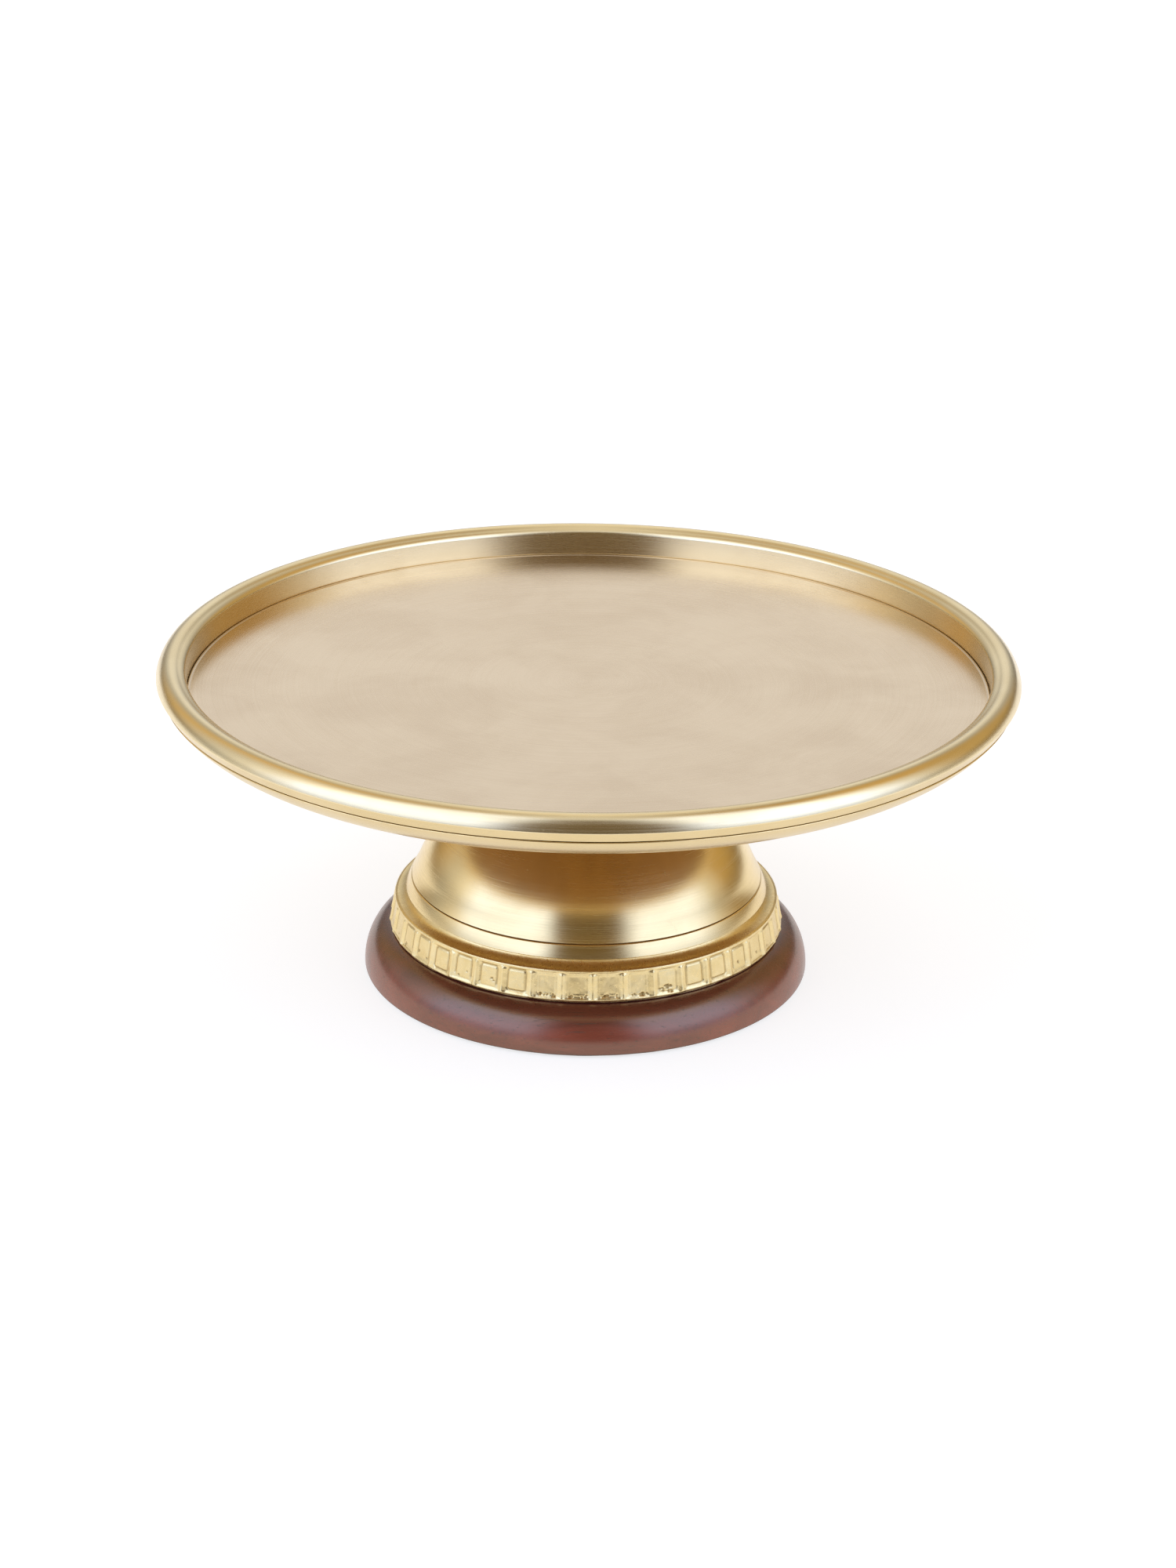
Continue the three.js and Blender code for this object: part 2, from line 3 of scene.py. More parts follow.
import bpy
import numpy as np
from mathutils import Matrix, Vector


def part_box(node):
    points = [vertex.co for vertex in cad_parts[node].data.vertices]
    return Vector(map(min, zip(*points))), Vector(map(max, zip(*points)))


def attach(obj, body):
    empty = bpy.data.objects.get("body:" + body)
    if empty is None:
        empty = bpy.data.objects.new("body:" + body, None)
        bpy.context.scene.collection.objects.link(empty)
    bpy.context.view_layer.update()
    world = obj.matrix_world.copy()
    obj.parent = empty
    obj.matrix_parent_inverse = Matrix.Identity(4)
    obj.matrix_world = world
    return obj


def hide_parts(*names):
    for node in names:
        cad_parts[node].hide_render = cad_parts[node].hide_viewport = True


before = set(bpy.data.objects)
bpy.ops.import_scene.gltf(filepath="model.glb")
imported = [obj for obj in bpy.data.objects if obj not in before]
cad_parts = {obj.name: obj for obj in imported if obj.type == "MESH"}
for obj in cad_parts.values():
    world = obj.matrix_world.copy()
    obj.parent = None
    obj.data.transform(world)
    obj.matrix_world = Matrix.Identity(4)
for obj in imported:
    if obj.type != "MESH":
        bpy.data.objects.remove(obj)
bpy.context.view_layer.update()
MM = 0.001

# ---- Tray dish ----------------------------------------------------------------------
# The shallow plate that carries the cake: a plain floor, hollow underneath, with a heavy
# belly that curves up to a lip. It is turned brass. Where it shows, an abrasive held to
# the spinning metal has left fine rings; the hollow is left dull, and its brown is painted
# shade, for the shadow under the tray.


def curve(start, pull, end, steps=12):
    """Points of a smooth curve from start to end, drawn towards pull, without its start."""
    t = np.linspace(0, 1, steps + 1)[1:, None]
    start, pull, end = (np.array(p, float) for p in (start, pull, end))
    return [tuple(p) for p in (1 - t) ** 2 * start + 2 * t * (1 - t) * pull + t**2 * end]


def ease(outline, radius, sharper_than=25):
    """An outline with each sharp corner rounded off, as a file and polish leave it."""
    points = [np.array(p, float) for p in outline]
    closed = points[0][0] > 0
    eased = []
    for i, p in enumerate(points):
        if not closed and i in (0, len(points) - 1):
            eased.append(p)
            continue
        before, after = points[i - 1] - p, points[(i + 1) % len(points)] - p
        reach_in, reach_out = np.linalg.norm(before), np.linalg.norm(after)
        cosine = before @ after / (reach_in * reach_out)
        turned_by = 180 - math.degrees(math.acos(max(-1, min(1, cosine))))
        if turned_by < sharper_than:
            eased.append(p)
            continue
        cut = min(radius, 0.45 * reach_in, 0.45 * reach_out)
        first, last = p + before / reach_in * cut, p + after / reach_out * cut
        eased.append(first)
        eased += [np.array(q) for q in curve(first, p, last, 4)]
    return eased


def turn(name, outline, material, sides=240):
    """A turned piece: an outline of (radius, height) in millimetres, spun round the axis."""
    points = np.array(outline, float) * MM
    closed = points[0][0] > 0
    angles = np.arange(sides) * 2 * math.pi / sides
    corners, rings = [], []
    for radius, height in points:
        if radius < 1e-7:
            rings.append([len(corners)] * sides)
            corners.append((0, 0, height))
            continue
        rings.append([len(corners) + k for k in range(sides)])
        corners += [(radius * math.cos(a), radius * math.sin(a), height) for a in angles]
    faces = []
    spans = list(zip(rings, rings[1:] + rings[:1]))
    for lower, upper in spans if closed else spans[:-1]:
        for k in range(sides):
            loop = [lower[k], lower[(k + 1) % sides], upper[(k + 1) % sides], upper[k]]
            faces.append(list(dict.fromkeys(loop)))
    mesh = bpy.data.meshes.new(name)
    mesh.from_pydata(corners, [], faces)
    mesh.validate()
    mesh.shade_smooth()
    mesh.set_sharp_from_angle(angle=math.radians(50))
    mesh.materials.append(material)
    made = bpy.data.objects.new(name, mesh)
    bpy.context.scene.collection.objects.link(made)
    return made


def paint(made, material, where):
    """Give another material to the faces whose radius and height, in millimetres, pass."""
    made.data.materials.append(material)
    for face in made.data.polygons:
        if where(math.hypot(face.center.x, face.center.y) / MM, face.center.z / MM):
            face.material_index = len(made.data.materials) - 1


def stand_for(made, slot, *nodes):
    """A finished piece takes the place of its CAD solids."""
    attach(made, "root")
    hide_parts(*nodes)


class Mixing:
    """A node tree being wired up, for a finish or for the studio's light."""

    def __init__(self, tree):
        self.tree = tree

    def add(self, kind, *inputs, **settings):
        node = self.tree.nodes.new(kind)
        for key, value in settings.items():
            setattr(node, key, value)
        for socket, value in zip(node.inputs, inputs):
            self.set(socket, value)
        return node

    def set(self, socket, value):
        if isinstance(value, bpy.types.NodeSocket):
            self.tree.links.new(value, socket)
        elif value is not None:
            socket.default_value = value

    def sum(self, operation, *inputs):
        return self.add("ShaderNodeMath", *inputs, operation=operation).outputs[0]

    def noise(self, vector, scale, detail=3.0, rough=0.55, warp=0.0):
        node = self.add("ShaderNodeTexNoise")
        for name, value in (
            ("Vector", vector),
            ("Scale", scale),
            ("Detail", detail),
            ("Roughness", rough),
            ("Distortion", warp),
        ):
            self.set(node.inputs[name], value)
        return node.outputs["Fac"]

    def spread(self, value, low, high, to_low, to_high, smooth=False):
        node = self.add("ShaderNodeMapRange", value, low, high, to_low, to_high)
        node.interpolation_type = "SMOOTHSTEP" if smooth else "LINEAR"
        return node.outputs["Result"]

    def blend(self, share, first, second, how="MIX"):
        node = self.add("ShaderNodeMix", data_type="RGBA", blend_type=how)
        self.set(node.inputs["Factor"], share)
        self.set(node.inputs["A"], first)
        self.set(node.inputs["B"], second)
        return next(s for s in node.outputs if s.type == "RGBA")

    def bump(self, height, strength, depth, under=None):
        node = self.add("ShaderNodeBump")
        for name, value in (
            ("Strength", strength),
            ("Distance", depth),
            ("Height", height),
            ("Normal", under),
        ):
            self.set(node.inputs[name], value)
        return node.outputs["Normal"]


class Finish(Mixing):
    """A material being mixed: one principled surface and the nodes that feed it."""

    def __init__(self, name):
        self.material = bpy.data.materials.new(name)
        self.material.use_nodes = True
        super().__init__(self.material.node_tree)
        self.surface = self.tree.nodes["Principled BSDF"]
        self.place = self.add("ShaderNodeTexCoord").outputs["Object"]


def lathe_marks(finish, around, across, slant=1.31):
    """A place stretched so that a noise read there runs in rings round the axis.

    The slant is how much height counts beside radius. It is negative on the bell, which
    narrows as it rises, so that the rings never stall on its slope.
    """
    x, y, z = finish.add("ShaderNodeSeparateXYZ", finish.place).outputs
    squares = finish.sum("ADD", finish.sum("MULTIPLY", x, x), finish.sum("MULTIPLY", y, y))
    radius = finish.sum("SQRT", squares)
    safe = finish.sum("MAXIMUM", radius, 0.0005)
    return finish.add(
        "ShaderNodeCombineXYZ",
        finish.sum("MULTIPLY", finish.sum("DIVIDE", x, safe), around),
        finish.sum("MULTIPLY", finish.sum("DIVIDE", y, safe), around),
        finish.sum("MULTIPLY", finish.sum("ADD", radius, finish.sum("MULTIPLY", z, slant)), across),
    ).outputs[0]


def satin_brass(name, bright, dull, roughness, brushed, slant=1.31):
    """Lacquered brass with a circular satin: fine rings, faint clouding, a few rubs."""
    finish = Finish(name)
    surface = finish.surface
    fine = finish.noise(lathe_marks(finish, 1.6, 2600, slant), 1, 4, 0.6)
    broad = finish.noise(lathe_marks(finish, 0.7, 260, slant), 1, 3, 0.6)
    cloud = finish.noise(finish.place, 26, 4, 0.6, 0.4)
    rubs = finish.noise(finish.place, 140, 5, 0.7)
    tone = finish.blend(finish.spread(cloud, 0.35, 0.68, 0, 1, True), bright, dull)
    tone = finish.blend(finish.spread(broad, 0.3, 0.7, 0, 0.22), tone, dull)
    finish.set(surface.inputs["Base Color"], tone)
    surface.inputs["Metallic"].default_value = 1
    gloss = finish.spread(fine, 0.25, 0.75, roughness - 0.05, roughness + 0.06)
    gloss = finish.sum("ADD", gloss, finish.spread(cloud, 0.3, 0.7, -0.02, 0.03))
    gloss = finish.sum("ADD", gloss, finish.spread(rubs, 0.6, 0.8, 0, 0.05, True))
    finish.set(surface.inputs["Roughness"], gloss)
    surface.inputs["Anisotropic"].default_value = brushed
    surface.inputs["Anisotropic Rotation"].default_value = 0.25
    tangent = finish.add("ShaderNodeTangent", direction_type="RADIAL", axis="Z")
    finish.set(surface.inputs["Tangent"], tangent.outputs[0])
    rings = finish.bump(finish.sum("ADD", fine, finish.sum("MULTIPLY", broad, 0.5)), 0.3, 0.00003)
    finish.set(surface.inputs["Normal"], finish.bump(cloud, 0.03, 0.0003, rings))
    return finish.material


dish_low, dish_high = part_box("tray_dish")
lip = dish_high.x / MM
under = dish_low.z / MM
lip_top = dish_high.z / MM
LIP_RISE = 2.3
FLOOR_THICKNESS = 2.4
BELLY_WIDTH = 15.8
BELLY_CORNER = 6.6
FOOT_WIDTH = 14
HOLLOW_LEAN = 2
RIM_INSIDE = 142.0
RIM_SHEET = 1.4
REBATE = 0.8
SEAM = 0.2
floor_top = lip_top - LIP_RISE
ceiling = floor_top - FLOOR_THICKNESS
belly = lip - BELLY_WIDTH
hollow = belly - FOOT_WIDTH
floor_edge = RIM_INSIDE - SEAM
seam_top = (floor_edge, floor_top + 0.05)

dish_outline = [
    (0, ceiling),
    (hollow - HOLLOW_LEAN, ceiling),
    (hollow, under),
    (belly, under),
    *curve((belly, under), (lip - BELLY_CORNER, under), (lip, lip_top - 0.3), 18),
    (lip - 0.3, lip_top),
    (lip - RIM_SHEET, lip_top),
    (RIM_INSIDE + 1.7, floor_top - REBATE),
    (floor_edge, floor_top - REBATE),
    seam_top,
    *curve(seam_top, (floor_edge - 0.4, floor_top + 0.5), (floor_edge - 1.1, floor_top), 8),
    (0, floor_top),
]
PALE, PALE_WORN = (0.80, 0.655, 0.475, 1), (0.745, 0.60, 0.43, 1)
# The gold copy is the tray's brass made darker and more golden; on the belly and the rim's skirt
# its extra darkness is painted shade.
GOLD, GOLD_WORN = (0.79, 0.62, 0.335, 1), (0.745, 0.575, 0.295, 1)
floor_satin = satin_brass("tray_satin", PALE, PALE_WORN, 0.24, 0.3)
shaded_gold_satin = satin_brass("shaded_gold_satin", GOLD, GOLD_WORN, 0.24, 0.5)
tray_dish = turn("tray_dish_turned", ease(dish_outline, 0.25), floor_satin)
paint(
    tray_dish,
    shaded_gold_satin,
    lambda r, z: r > hollow and (z < floor_top - REBATE - 0.1 or r > RIM_INSIDE + 1.6),
)

# The hollow under the dish is rough brass painted dark brown: painted shade for the shadow under
# the tray. Its blotches only vary that shade at random.
dull = Finish("dark_brass_painted_shade")
shade_mottle = dull.noise(dull.place, 60, 5, 0.65, 0.8)
tooling = dull.noise(lathe_marks(dull, 0.7, 700), 1, 3, 0.6)
BROWN, TAN = (0.24, 0.115, 0.022, 1), (0.34, 0.175, 0.040, 1)
shade_patches = dull.blend(dull.spread(shade_mottle, 0.3, 0.7, 0, 1, True), BROWN, TAN)
dull.set(dull.surface.inputs["Base Color"], shade_patches)
dull.surface.inputs["Metallic"].default_value = 0.7
dull.set(dull.surface.inputs["Roughness"], dull.spread(tooling, 0.3, 0.7, 0.5, 0.66))
dull.set(dull.surface.inputs["Normal"], dull.bump(tooling, 0.4, 0.0001))
paint(tray_dish, dull.material, lambda r, z: r < hollow and z < ceiling + 0.01)
stand_for(tray_dish, "satin_gold", "tray_dish")

# ---- Tray rim -----------------------------------------------------------------------
# A strip of brass rolled into a hollow ring: an upright inner face, a domed crown, a
# crisp outer edge and a skirt that turns in below. It is soldered to the dish, and the
# open lines inside and below are where the two pieces meet.
rim_low, rim_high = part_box("tray_rim")
edge_radius = rim_high.x / MM
crown_top = rim_high.z / MM
rim_foot = rim_low.z / MM
CROWN_DROP = 4.9
CROWN_SHEET = 1.6
INNER_SWING, OUTER_SWING = -28, 72
CROWN_STEPS = 24
crown_radius = (RIM_INSIDE + edge_radius) / 2
edge_height = crown_top - CROWN_DROP
skirt_foot = lip_top + 0.3
full_swing = math.radians(OUTER_SWING)

crown = []
for i in range(CROWN_STEPS + 1):
    swing = math.radians(INNER_SWING + i * (OUTER_SWING - INNER_SWING) / CROWN_STEPS)
    reach = edge_radius - crown_radius
    crown.append((
        crown_radius + reach * math.sin(swing) / math.sin(full_swing),
        crown_top - CROWN_DROP * (1 - math.cos(swing)) / (1 - math.cos(full_swing)),
    ))
wall_inside = (RIM_INSIDE + RIM_SHEET, rim_foot + 8.2)
crown_inside = (crown_radius, crown_top - CROWN_SHEET)
edge_inside = (edge_radius - CROWN_SHEET, edge_height)
rim_outline = [
    (RIM_INSIDE, rim_foot),
    (RIM_INSIDE + RIM_SHEET, rim_foot),
    wall_inside,
    *curve(wall_inside, (crown_radius - 2, crown_top - CROWN_SHEET), crown_inside, 6),
    *curve(crown_inside, (edge_radius - CROWN_SHEET, crown_top - CROWN_SHEET), edge_inside, 6),
    (lip - RIM_SHEET, skirt_foot),
    (lip, skirt_foot),
    (edge_radius, edge_height),
    *reversed(crown[:-1]),
    *curve(crown[0], (RIM_INSIDE, crown[0][1] - 0.9), (RIM_INSIDE, crown[0][1] - 2.2), 8),
]
rim_satin = satin_brass("rim_satin", (0.87, 0.725, 0.445, 1), (0.82, 0.67, 0.395, 1), 0.24, 0.5)
tray_rim = turn("tray_rim_rolled", ease(rim_outline, 0.18, 35), rim_satin)
# The skirt below the crown takes the darker gold copy: painted shade on the same rolled strip.
paint(tray_rim, shaded_gold_satin, lambda r, z: r > lip - 2 and z < edge_height - 0.15)
stand_for(tray_rim, "satin_gold", "tray_rim")

# ---- Bell ---------------------------------------------------------------------------
# The stem of the stand, one spun brass shell. A narrow neck under the tray opens into a
# dome, a flared skirt and a rounded shoulder, with one line cut in above the shoulder.
bell_low, bell_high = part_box("bell")
shoulder = bell_high.x / MM
bell_foot = bell_low.z / MM
bell_top = bell_high.z / MM
SHELL = 1.2
SHOULDER_WIDTH = 2.3
SKIRT_FLARE = 2.6
SKIRT_HEIGHT = 5.1
NECK = 24.5
skirt = shoulder - SHOULDER_WIDTH
dome = skirt - SKIRT_FLARE
skirt_start = (skirt, bell_foot + SKIRT_HEIGHT)


def ogee(start, pull_low, pull_high, end, steps):
    """Points of an S-shaped curve, without its start."""
    t = np.linspace(0, 1, steps + 1)[1:, None]
    a, b, c, d = (np.array(p, float) for p in (start, pull_low, pull_high, end))
    mixed = (1 - t) ** 3 * a + 3 * t * (1 - t) ** 2 * b + 3 * t**2 * (1 - t) * c + t**3 * d
    return [tuple(p) for p in mixed]


LEAN_RISE = 0.405
SWEEP_DROP = 0.467
MOUTH = 30
waist = bell_top - 9.5
dome_foot = bell_foot + 10.4
climb = waist - dome_foot
dome_pull = (dome - 9, dome_foot + LEAN_RISE * climb)
neck_pull = (NECK + 1.5, waist - SWEEP_DROP * climb)
bell_skin = [
    skirt_start,
    *curve(skirt_start, (dome + 1.1, bell_foot + 7.7), (dome, dome_foot), 10),
    *ogee((dome, dome_foot), dome_pull, neck_pull, (NECK, waist), 40),
    *ogee((NECK, waist), (NECK, waist + 4.3), (NECK + 1.6, bell_top - 1), (MOUTH, bell_top), 14),
]
inner_skin = []
for i, (r, z) in enumerate(bell_skin):
    before, after = bell_skin[max(i - 1, 0)], bell_skin[min(i + 1, len(bell_skin) - 1)]
    out, rise = after[0] - before[0], after[1] - before[1]
    run = math.hypot(out, rise)
    inner_skin.append((r - SHELL * rise / run, z + SHELL * out / run))
BORE = 9.3
round_start = (shoulder - 0.16, bell_foot + 0.25)
bell_outline = [
    (shoulder - 1.0, bell_foot + 0.05),
    (shoulder - 0.3, bell_foot + 0.1),
    round_start,
    *curve(round_start, (shoulder - 1.0, bell_foot + 2.6), (skirt + 0.17, bell_foot + 4.62), 14),
    (skirt - 0.05, bell_foot + 4.68),
    (skirt - 0.42, bell_foot + 4.74),
    (skirt - 0.45, bell_foot + 4.96),
    (skirt - 0.10, bell_foot + 5.04),
    *bell_skin,
    (BORE, bell_top),
    (BORE, bell_top - SHELL),
    (inner_skin[-1][0], bell_top - SHELL),
    *reversed(inner_skin[1:-1]),
    (skirt - SHELL, bell_foot + 2.8),
    (shoulder - SHELL - 0.6, bell_foot),
]
WARM_GOLD, WARM_GOLD_WORN = (0.87, 0.68, 0.355, 1), (0.82, 0.625, 0.31, 1)
bell_satin = satin_brass("bell_satin", WARM_GOLD, WARM_GOLD_WORN, 0.23, 0.5, -1.31)
bell = turn("bell_spun", bell_outline, bell_satin)
# The faces of the cut line above the shoulder take the same dark brown: painted shade in the
# groove.
paint(bell, dull.material, lambda r, z: skirt - 0.6 < r < skirt and 4.66 < z - bell_foot < 5.03)
stand_for(bell, "satin_gold", "bell")

# ---- Fret ring ----------------------------------------------------------------------
# A sand-cast brass ring under the bell. A row of fret panels runs round its leaning
# face, pressed by hand into the mould, so each is a little different: most are closed
# frames, some nearly plain and pitted. A cove above them leads up to the bell.
ring_low, ring_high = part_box("fret_ring")
ring_foot = ring_low.z / MM
FACE_FOOT = ring_high.x / MM
FACE_LEAN = 2.1
FACE_HEIGHT = 11.4
FACE_ROUND = 0.8
PANELS = 41
PANEL_STEPS = 48
FACE_STEPS = 56
panel_pitch = 2 * math.pi / PANELS
panel_width = panel_pitch * (FACE_FOOT - FACE_LEAN / 2)

# Each kind of panel: how deep its top, bottom and side lines are cut, how far its field is
# sunk, and how many casting pits lie along its foot.
PANEL_HALF = 3.45
PANEL_LOW, PANEL_HIGH = 2.1, 9.7
PANEL_CORNER = 1.1
PANEL_KINDS = {
    "framed": (1.0, 1.0, 1.0, 0.02, 0),
    "hooded": (1.0, 0.35, 1.0, 0.06, 2),
    "barred": (0.35, 0.3, 1.0, 0.14, 1),
    "sunk": (0.2, 0.35, 0.3, 0.20, 8),
    "pitted": (0.3, 0.5, 0.7, 0.12, 14),
}
ROUND_THE_RING = [
    "barred", "barred", "hooded", "hooded", "framed", "hooded", "hooded", "framed",
    "sunk", "sunk", "sunk", "sunk", "pitted", "framed", "framed", "hooded",
    "barred", "hooded", "barred", "framed",
]
FIRST_PANEL = 21


def frame_gap(points):
    """How far each point is outside the panel's rounded outline; less than 0 inside."""
    middle = np.array([0, (PANEL_LOW + PANEL_HIGH) / 2])
    half = np.array([PANEL_HALF, (PANEL_HIGH - PANEL_LOW) / 2])
    past = np.abs(points - middle) - half + PANEL_CORNER
    outside = np.linalg.norm(np.maximum(past, 0), axis=1)
    return outside + np.minimum(past.max(axis=1), 0) - PANEL_CORNER


def hump(distance, width):
    """One where the distance is nothing, fading to nothing beyond the width."""
    return np.exp(-((distance / width) ** 2))


def step(value, start, width):
    """Nothing below start, one above it, with a soft slope between."""
    t = np.clip((value - start) / width, 0, 1)
    return t * t * (3 - 2 * t)


def lumps(columns, rows, cells_round, cells_up, seed):
    """Soft hand-made unevenness over the whole face, which meets itself round the ring."""
    grid = np.random.default_rng(seed).normal(size=(cells_up + 2, cells_round))
    x = np.arange(columns) / columns * cells_round
    y = np.linspace(0, cells_up, rows)
    x0, y0 = x.astype(int), y.astype(int)
    fx, fy = x - x0, y - y0
    fx, fy = fx * fx * (3 - 2 * fx), (fy * fy * (3 - 2 * fy))[:, None]
    a, b = grid[y0][:, x0], grid[y0][:, (x0 + 1) % cells_round]
    c, d = grid[y0 + 1][:, x0], grid[y0 + 1][:, (x0 + 1) % cells_round]
    return (a * (1 - fx) + b * fx) * (1 - fy) + (c * (1 - fx) + d * fx) * fy


rng = np.random.default_rng(7)
across = (np.arange(PANEL_STEPS) / PANEL_STEPS - 0.5) * panel_width
up = np.linspace(0, FACE_HEIGHT, FACE_STEPS + 1)
face_points = np.array([(u, v) for v in up for u in across])
to_edge = panel_width / 2 - np.abs(face_points[:, 0])
columns = PANELS * PANEL_STEPS
depth = np.zeros((FACE_STEPS + 1, columns))
patina = np.zeros((FACE_STEPS + 1, columns))
for panel in range(PANELS):
    kind = ROUND_THE_RING[(panel - FIRST_PANEL) % len(ROUND_THE_RING)]
    top_line, foot_line, side_line, sunk, pits = PANEL_KINDS[kind]
    points = face_points * (1 + rng.normal(0, 0.02)) - rng.normal(0, 0.14, 2)
    u, v = points.T
    gap = frame_gap(points)
    reach_top = step(v, PANEL_HIGH - 1.3, 0.9)
    reach_foot = 1 - step(v, PANEL_LOW + 0.4, 0.9)
    strength = side_line + (top_line - side_line) * reach_top + (foot_line - side_line) * reach_foot
    line = strength * hump(gap, 0.36)
    field = 1 - step(gap, -0.9, 0.8)
    rib = hump(to_edge, 0.95)
    rib *= step(face_points[:, 1], 0.3, 1.2) * (1 - step(face_points[:, 1], 9.4, 1.2))
    foot_knob = hump(to_edge, 1.3) * hump(face_points[:, 1] - 1.6, 0.9)
    cut = 0.70 - 0.56 * rib - 0.12 * foot_knob + (sunk - 0.05) * field + 0.30 * line
    cut -= 0.30 * step(v, 9.9, 0.8) + 0.34 * (1 - step(v, 0.9, 0.8))
    stained = 0.7 * line + (0.10 + 0.5 * sunk) * field
    for _ in range(pits):
        pit = np.array([rng.uniform(-3.2, 3.2), rng.uniform(1.7, 2.5 if kind == "sunk" else 5.0)])
        away = np.linalg.norm((points - pit) * (0.7, 1.0), axis=1)
        size = rng.uniform(0.18, 0.36)
        cut += 0.35 * hump(away, size)
        stained += 1.0 * hump(away, size)
    block = slice(panel * PANEL_STEPS, (panel + 1) * PANEL_STEPS)
    depth[:, block] = cut.reshape(FACE_STEPS + 1, PANEL_STEPS)
    patina[:, block] = stained.reshape(FACE_STEPS + 1, PANEL_STEPS)
depth += 0.022 * lumps(columns, FACE_STEPS + 1, 170, 5, 3)
depth += 0.009 * lumps(columns, FACE_STEPS + 1, 560, 9, 4)
depth = np.maximum(depth, 0.01)

foot_rise = np.clip(0.08 + 0.12 * lumps(columns, 2, 90, 1, 5)[0], 0.0, 0.4)
ring_angles = np.arange(columns) * panel_pitch / PANEL_STEPS
ring_top = FACE_FOOT - FACE_LEAN
cove_start = (ring_top - FACE_ROUND - 0.2, FACE_HEIGHT - 0.05)
profile_above = ease(
    [
        cove_start,
        *curve(cove_start, (shoulder + 0.2, FACE_HEIGHT + 0.2), (shoulder - 0.9, 13.5), 14),
        (shoulder - 3.9, 13.5),
        (shoulder - 3.9, 15.1),
        (shoulder - 6.9, 15.1),
        (shoulder - 6.9, 10.1),
        (ring_top - 3.4, 8.0),
        (FACE_FOOT - 3.4, 0.6),
    ],
    0.2,
)[1:]
rows = []
for i, v in enumerate(up):
    lean = FACE_FOOT - FACE_LEAN * v / FACE_HEIGHT
    rolled = min(1.0, max(0.0, (v - (FACE_HEIGHT - FACE_ROUND)) / FACE_ROUND))
    soft_top = FACE_ROUND * (1 - math.sqrt(1 - rolled**2))
    soft_foot = 0.5 * hump(v, 0.6)
    fade = 1 - 0.5 * rolled
    face = lean - depth[i] * fade - soft_top - soft_foot
    rows.append((face, np.maximum(v, foot_rise + 0.01 * i)))
for r, z in profile_above:
    rows.append((np.full(columns, r), np.full(columns, z)))
ring_corners = np.concatenate([
    np.stack([r * np.cos(ring_angles), r * np.sin(ring_angles), z + ring_foot], 1) for r, z in rows
]) * MM
ring_faces = []
for i in range(len(rows)):
    j = (i + 1) % len(rows)
    here, there = i * columns, j * columns
    for k in range(columns):
        n = (k + 1) % columns
        ring_faces.append((here + k, here + n, there + n, there + k))
ring_mesh = bpy.data.meshes.new("fret_ring_cast")
ring_mesh.from_pydata(ring_corners.tolist(), [], ring_faces)
ring_mesh.shade_smooth()
ring_mesh.set_sharp_from_angle(angle=math.radians(60))
stains = np.zeros(len(ring_corners), np.float32)
stains[: patina.size] = np.clip(patina, 0, 1).ravel()
ring_mesh.attributes.new("patina", "FLOAT", "POINT").data.foreach_set("value", stains)
fret_ring = bpy.data.objects.new("fret_ring_cast", ring_mesh)
bpy.context.scene.collection.objects.link(fret_ring)

casting = Finish("cast_brass")
grit = casting.noise(casting.place, 900, 5, 0.65)
blotch = casting.noise(casting.place, 170, 3, 0.6, 0.5)
hollow_line = casting.add("ShaderNodeAttribute", attribute_name="patina").outputs["Fac"]
CAST_GOLD, CAST_GOLD_WORN = (0.90, 0.72, 0.375, 1), (0.83, 0.64, 0.30, 1)
DARK_PATINA = (0.30, 0.19, 0.06, 1)
tone = casting.blend(casting.spread(blotch, 0.35, 0.7, 0, 1), CAST_GOLD, CAST_GOLD_WORN)
tone = casting.blend(casting.spread(hollow_line, 0.05, 1.0, 0, 0.8), tone, DARK_PATINA)
casting.set(casting.surface.inputs["Base Color"], tone)
casting.surface.inputs["Metallic"].default_value = 1
rough = casting.spread(grit, 0.3, 0.7, 0.24, 0.36)
rough = casting.sum("ADD", rough, casting.spread(hollow_line, 0.3, 1.0, 0, 0.2))
casting.set(casting.surface.inputs["Roughness"], rough)
sanded = casting.bump(grit, 0.3, 0.0001)
casting.set(casting.surface.inputs["Normal"], casting.bump(blotch, 0.3, 0.0003, sanded))
ring_mesh.materials.append(casting.material)
stand_for(fret_ring, "cast_gold", "fret_ring")

# ---- Boss and washer ------------------------------------------------------------------
# A turned brass boss is brazed on under the dish, and a red fibre washer keeps it off the
# bell. Only their edges can be seen, in the gap between the bell and the tray.
boss_low, boss_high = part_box("tray_boss")
flange = boss_high.x / MM
boss_foot, boss_top = boss_low.z / MM, boss_high.z / MM
THREAD = 4.3
BARREL = 9
boss_outline = [
    (0, boss_foot + 12),
    (THREAD, boss_foot + 12),
    (THREAD, boss_foot),
    (BARREL, boss_foot),
    (BARREL, boss_foot + 13),
    (flange, boss_foot + 13),
    (flange, boss_top),
    (0, boss_top),
]
boss = turn("tray_boss_turned", ease(boss_outline, 0.4), bell_satin, 96)
stand_for(boss, "cast_gold", "tray_boss")

